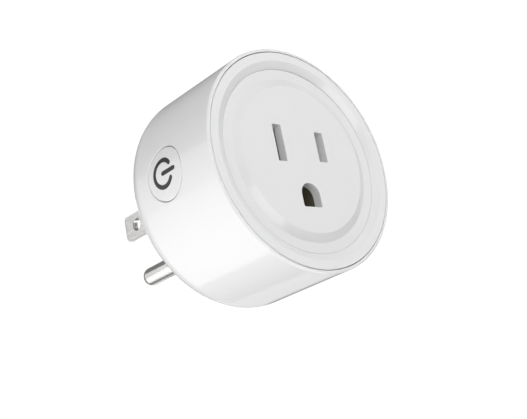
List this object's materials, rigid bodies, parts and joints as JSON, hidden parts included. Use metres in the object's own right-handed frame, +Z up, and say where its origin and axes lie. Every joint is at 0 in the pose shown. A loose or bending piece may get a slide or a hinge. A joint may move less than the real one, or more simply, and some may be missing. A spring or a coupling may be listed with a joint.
{
  "type": "smart plug",
  "caption": "Round smart plug with a three-pin socket in its front face, a side power button, and two flat blades and a round ground pin at the back.",
  "frame": {"origin": "centre of the wall face, on the body's axis, where the blades and the ground pin leave the body", "axes": "+Z up as used in a wall socket with the ground pin below the blades; +Y along the body's axis into the wall; the socket face looks along -Y; the button is on the -X side"},
  "size_m": [0.054, 0.0644, 0.054],
  "materials": {
    "shell_white": "gloss",
    "bezel_white": "satin gloss",
    "face_grey": "satin gloss",
    "cover_white": "gloss",
    "button_white": "gloss",
    "symbol_grey": "satin print",
    "blade_nickel": "fine brushed nickel plate",
    "pin_nickel": "bright nickel plate",
    "contact_brass": "bright",
    "inner_black": "matte",
    "inner_white": "matte",
    "screw_steel": "satin",
    "board_green": "satin solder mask",
    "chip_black": "matte",
    "relay_blue": "gloss",
    "coil_copper": "enamelled copper wire",
    "core_steel": "plain",
    "can_aluminium": "sleeved can",
    "film_yellow": "satin",
    "varistor_blue": "epoxy dip",
    "resistor_beige": "matte",
    "ferrite_dark": "matte ferrite",
    "shield_tin": "tinned",
    "led_clear": "clear"
  },
  "bodies": {
    "housing": {"housing_shell": "shell_white", "front_bezel": "bezel_white", "socket_face": "face_grey", "rear_cover": "cover_white", "blade_retainer": "inner_white", "retainer_screws": "screw_steel", "neutral_blade": "blade_nickel", "line_blade": "blade_nickel", "ground_pin": "pin_nickel", "ground_strap": "contact_brass", "contact_carrier": "inner_black", "neutral_contact": "contact_brass", "line_contact": "contact_brass", "ground_contact": "contact_brass", "main_board": "board_green", "board_screws": "screw_steel", "relay_case": "relay_blue", "relay_base": "relay_blue", "relay_pins": "shield_tin", "relay_bobbin": "inner_white", "relay_coil": "coil_copper", "relay_core": "core_steel", "relay_yoke": "core_steel", "relay_fixed_contact": "coil_copper", "safety_capacitor": "film_yellow", "inductor_core": "ferrite_dark", "inductor_winding": "coil_copper", "varistor": "varistor_blue", "fusible_resistor": "resistor_beige", "bridge_rectifier": "chip_black", "power_chip": "chip_black", "metering_chip": "chip_black", "shunt_resistor": "shield_tin", "wifi_board": "board_green", "wifi_shield": "shield_tin", "wifi_antenna": "coil_copper", "button_board": "board_green", "switch_body": "chip_black", "switch_cover": "shield_tin", "switch_dome": "screw_steel", "status_led": "led_clear", "bulk_capacitor_a": "can_aluminium", "bulk_capacitor_b": "can_aluminium"},
    "button": {"button_cap": "button_white", "button_symbol": "symbol_grey"},
    "plunger": {"switch_plunger": "chip_black"},
    "armature": {"relay_armature": "core_steel", "relay_contact_spring": "coil_copper"}
  },
  "joints": [
    {"name": "button_press", "type": "slide", "parent": "housing", "child": "button", "axis": [1, 0, 0], "range_m": [0, 0.0003], "stiffness_N_per_m": 3000},
    {"name": "plunger_press", "type": "slide", "parent": "housing", "child": "plunger", "axis": [1, 0, 0], "range_m": [0, 0.0003]},
    {"name": "armature_swing", "type": "hinge", "parent": "housing", "child": "armature", "pos_m": [0.002, -0.0351, 0.0175], "axis": [0, 0, -1], "range_deg": [0, 3], "stiffness_Nm_per_rad": 0.02}
  ],
  "couplings": [
    {"joint": "plunger_press", "follows": "button_press", "ratio": 1}
  ]
}
